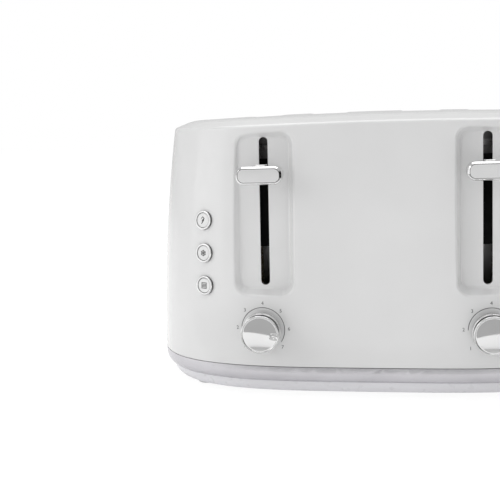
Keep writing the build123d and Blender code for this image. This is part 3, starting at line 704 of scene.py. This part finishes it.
def add_spring(side):
    """Return spring that stretches between the oven's flange and the carriage."""
    node = "return_spring_" + side
    low, high = (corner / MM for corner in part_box(node))
    centre = (low + high) / 2
    radius = (high.x - low.x) / 2 - SPRING_WIRE
    foot, rise = low.z + SPRING_WIRE, high.z - low.z - 2 * SPRING_WIRE
    steps = SPRING_TURNS * TURN_STEPS
    points = []
    for step in range(steps + 1):
        share = step / steps
        angle = 2 * math.pi * SPRING_TURNS * share
        out = Vector((math.cos(angle), math.sin(angle), 0))
        wire_centre = Vector((centre.x, centre.y, foot + rise * share)) + out * radius
        for wire_step in range(WIRE_SIDES):
            turn = 2 * math.pi * wire_step / WIRE_SIDES
            offset = out * math.cos(turn) + Vector((0, 0, math.sin(turn)))
            points.append((wire_centre + offset * SPRING_WIRE) * MM)
    faces = ring_faces(steps + 1, WIRE_SIDES)
    spring = new_piece("spring_" + side, points, faces, MATERIALS["rod_steel"])
    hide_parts(node)
    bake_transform(spring)


# ---------------------------------------------------------------- heater ribbons
RIBBON_PITCH = 11.0
RIBBON_WIDTH = 1.5
RIBBON_THICKNESS = 0.18
BOARD_HALF = 0.5
BOARD_MARGIN = (8.0, 12.0)      # clear edge at the ends, and above and below


def add_strip(points, faces, low, high):
    """Append a thin bar between two corners."""
    base = len(points)
    for x in (low[0], high[0]):
        for y, z in ((low[1], low[2]), (high[1], low[2]), (high[1], high[2]), (low[1], high[2])):
            points.append((x * MM, y * MM, z * MM))
    faces += [tuple(base + corner for corner in face) for face in BLOCK_FACES]


def add_heaters(side):
    """Resistance ribbon wound to and fro over both faces of the three mica boards."""
    low, high = (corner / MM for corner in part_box("heater_boards_" + side))
    ends = (low.y + BOARD_MARGIN[0], high.y - BOARD_MARGIN[0])
    rows = int((high.z - low.z - 2 * BOARD_MARGIN[1]) / RIBBON_PITCH)
    points, faces = [], []
    for board in (low.x + BOARD_HALF, (low.x + high.x) / 2, high.x - BOARD_HALF):
        for face in (-1, 1):
            x_low, x_high = sorted((board + face * BOARD_HALF,
                                    board + face * (BOARD_HALF + RIBBON_THICKNESS)))
            for row in range(rows + 1):
                z = low.z + BOARD_MARGIN[1] + RIBBON_PITCH * row
                add_strip(points, faces, (x_low, ends[0], z), (x_high, ends[1], z + RIBBON_WIDTH))
                if row < rows:
                    y = ends[row % 2]
                    inward = 1 if row % 2 == 0 else -1
                    y_low, y_high = sorted((y, y + inward * RIBBON_WIDTH))
                    add_strip(points, faces, (x_low, y_low, z), (x_high, y_high, z + RIBBON_PITCH))
    ribbon = new_piece("heater_ribbons_" + side, points, faces, RIBBON)
    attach(ribbon, "housing")


# ---------------------------------------------------------------- camera
CAMERA_PLACE = (9.30, -740.45, 192.33)      # mm from the housing's middle, and above the floor
CAMERA_YAW = 0.15343                        # turned to the left
CAMERA_PITCH = 0.14339                      # tipped down
CAMERA_ROLL = -0.03069
CAMERA_LENS = 65.08
CAMERA_SENSOR = 36.0


def add_camera():
    """Camera at the same angle as the reference view."""
    data = bpy.data.cameras.new("camera")
    data.lens = CAMERA_LENS
    data.sensor_width = CAMERA_SENSOR
    data.clip_start = 0.01
    camera = new_object("camera", data)
    forward = Vector((-math.sin(CAMERA_YAW) * math.cos(CAMERA_PITCH),
                      math.cos(CAMERA_YAW) * math.cos(CAMERA_PITCH),
                      -math.sin(CAMERA_PITCH)))
    right = Vector((math.cos(CAMERA_YAW), math.sin(CAMERA_YAW), 0))
    up = right.cross(forward)
    level = Matrix((right, up, -forward)).transposed()
    rolled = level @ Matrix.Rotation(CAMERA_ROLL, 3, "Z")
    x, y, z = CAMERA_PLACE
    place = Matrix.Translation((x * MM, y * MM + BODY_Y, z * MM))
    camera.matrix_world = place @ rolled.to_4x4()
    bpy.context.scene.camera = camera


# ---------------------------------------------------------------- floor, surround and light
FLOOR_REACH = 6.0
FLOOR_COLOUR = (0.9, 0.9, 0.9, 1)
FLOOR_ROUGHNESS = 0.8
FLOOR_GLOW = 0.19
FLOOR_WHITE = 0.8           # share of plain white paper in what the camera sees of the floor
PAPER_GLOW = 1.08
SURROUND_GLOW = 0.59
WHITE = (1, 1, 1, 1)
LIGHT_TARGET = (0, BODY_Y, 0.1)
SOFTBOXES = (               # name, place and size in m, power in W
    ("left_softbox", (-1.75, -1.0, 0.9), (1.1, 1.3), 6.4),
    ("front_softbox", (-0.5, -2.3, 1.3), (2.4, 2.6), 1.9),
    ("top_softbox", (0.0, 0.2, 1.9), (1.8, 1.8), 17.5),
)
CARDS = (                   # name, corners in m from the housing's middle, glow, fade
    ("low_front_card",
     ((-0.5, -0.19, 0.002), (0.5, -0.19, 0.002), (0.42, -0.48, 0.002), (0.0, -0.29, 0.002),
      (-0.42, -0.48, 0.002)), 0.50, None),
    ("right_card",
     ((0.8, -1.3, 0.0), (0.8, 0.8, 0.0), (0.8, 0.8, 0.8), (0.8, -1.3, 0.8)), 0.01,
     ((0.8, -0.25, 0.1), (1.0, 1.05, 0.7))),
    ("low_right_card",
     ((0.3, -0.95, 0.003), (0.8, -0.95, 0.003), (0.8, 0.45, 0.003), (0.3, 0.45, 0.003)), 0.02,
     ((0.8, -0.25, 0.003), (0.5, 0.7, 1.0))),
    ("left_strip",
     ((-1.0, -1.0, 0.0), (-1.0, -0.25, 0.0), (-1.0, -0.25, 0.5), (-1.0, -1.0, 0.5)), 1.2, None),
)


def add_floor():
    """Pale floor that the camera sees as nearly plain white."""
    far = FLOOR_REACH
    mesh = bpy.data.meshes.new("floor")
    mesh.from_pydata([(-far, -far, 0), (far, -far, 0), (far, far, 0), (-far, far, 0)],
                     [], [(0, 1, 2, 3)])
    floor = new_object("floor", mesh)
    material, nodes, link, shader = new_material("floor_paper")
    shader.inputs["Base Color"].default_value = FLOOR_COLOUR
    shader.inputs["Roughness"].default_value = FLOOR_ROUGHNESS
    shader.inputs["Emission Color"].default_value = WHITE
    shader.inputs["Emission Strength"].default_value = FLOOR_GLOW
    paper = nodes.new("ShaderNodeEmission")
    paper.inputs["Strength"].default_value = PAPER_GLOW
    rays = nodes.new("ShaderNodeLightPath")
    share = nodes.new("ShaderNodeMath")
    share.operation = "MULTIPLY"
    share.inputs[1].default_value = FLOOR_WHITE
    blend = nodes.new("ShaderNodeMixShader")
    link(rays.outputs["Is Camera Ray"], share.inputs[0])
    link(share.outputs["Value"], blend.inputs["Fac"])
    link(shader.outputs["BSDF"], blend.inputs[1])
    link(paper.outputs["Emission"], blend.inputs[2])
    link(blend.outputs["Shader"], nodes["Material Output"].inputs["Surface"])
    mesh.materials.append(material)


def add_surround():
    """Even surround light, seen by the camera as white."""
    world = bpy.data.worlds.new("surround")
    bpy.context.scene.world = world
    world.use_nodes = True
    nodes, link = world.node_tree.nodes, world.node_tree.links.new
    surround = nodes["Background"]
    surround.inputs["Color"].default_value = WHITE
    surround.inputs["Strength"].default_value = SURROUND_GLOW
    backdrop = nodes.new("ShaderNodeBackground")
    backdrop.inputs["Color"].default_value = WHITE
    rays = nodes.new("ShaderNodeLightPath")
    mix = nodes.new("ShaderNodeMixShader")
    link(rays.outputs["Is Camera Ray"], mix.inputs["Fac"])
    link(surround.outputs["Background"], mix.inputs[1])
    link(backdrop.outputs["Background"], mix.inputs[2])
    link(mix.outputs["Shader"], nodes["World Output"].inputs["Surface"])
    bpy.context.scene.view_settings.view_transform = "Standard"


def add_softbox(name, place, size, power):
    """Soft area light aimed at the toaster."""
    data = bpy.data.lights.new(name, "AREA")
    data.shape = "RECTANGLE"
    data.size, data.size_y = size
    data.energy = power
    light = new_object(name, data)
    light.location = place
    aim = Vector(LIGHT_TARGET) - Vector(place)
    light.rotation_euler = aim.to_track_quat("-Z", "Y").to_euler()


def add_card(name, corners, glow, fade):
    """Flat card that only gloss reflects; fade is the centre and reach over which it fades out."""
    mesh = bpy.data.meshes.new(name)
    mesh.from_pydata([(x, BODY_Y + y, z) for x, y, z in corners], [], [tuple(range(len(corners)))])
    card = new_object(name, mesh)
    material, nodes, link, _ = new_material(name)
    light = nodes.new("ShaderNodeEmission")
    light.inputs["Strength"].default_value = glow
    if fade:
        centre, reach = fade
        place = nodes.new("ShaderNodeTexCoord")
        mapping = nodes.new("ShaderNodeMapping")
        mapping.inputs["Scale"].default_value = [1 / size for size in reach]
        shift = [-spot / size for spot, size in zip(centre, reach)]
        mapping.inputs["Location"].default_value = shift
        ball = nodes.new("ShaderNodeTexGradient")
        ball.gradient_type = "SPHERICAL"
        link(place.outputs["Object"], mapping.inputs["Vector"])
        link(mapping.outputs["Vector"], ball.inputs["Vector"])
        strength = spread(nodes, link, ball.outputs["Fac"], SURROUND_GLOW, glow,
                          start=0.0, end=0.5)
        link(strength, light.inputs["Strength"])
    link(light.outputs["Emission"], nodes["Material Output"].inputs["Surface"])
    mesh.materials.append(material)
    card.visible_camera = False
    card.visible_diffuse = False
    card.visible_shadow = False
    card.visible_transmission = False


# ---------------------------------------------------------------- the whole scene
paint_nodes()
for half in SIDES:
    add_dial(half)
    add_scale(half)
for add_pieces in (add_buttons, add_lever, add_spring, add_heaters):
    for half in SIDES:
        add_pieces(half)
add_camera()
add_floor()
add_surround()
for softbox in SOFTBOXES:
    add_softbox(*softbox)
for card_row in CARDS:
    add_card(*card_row)
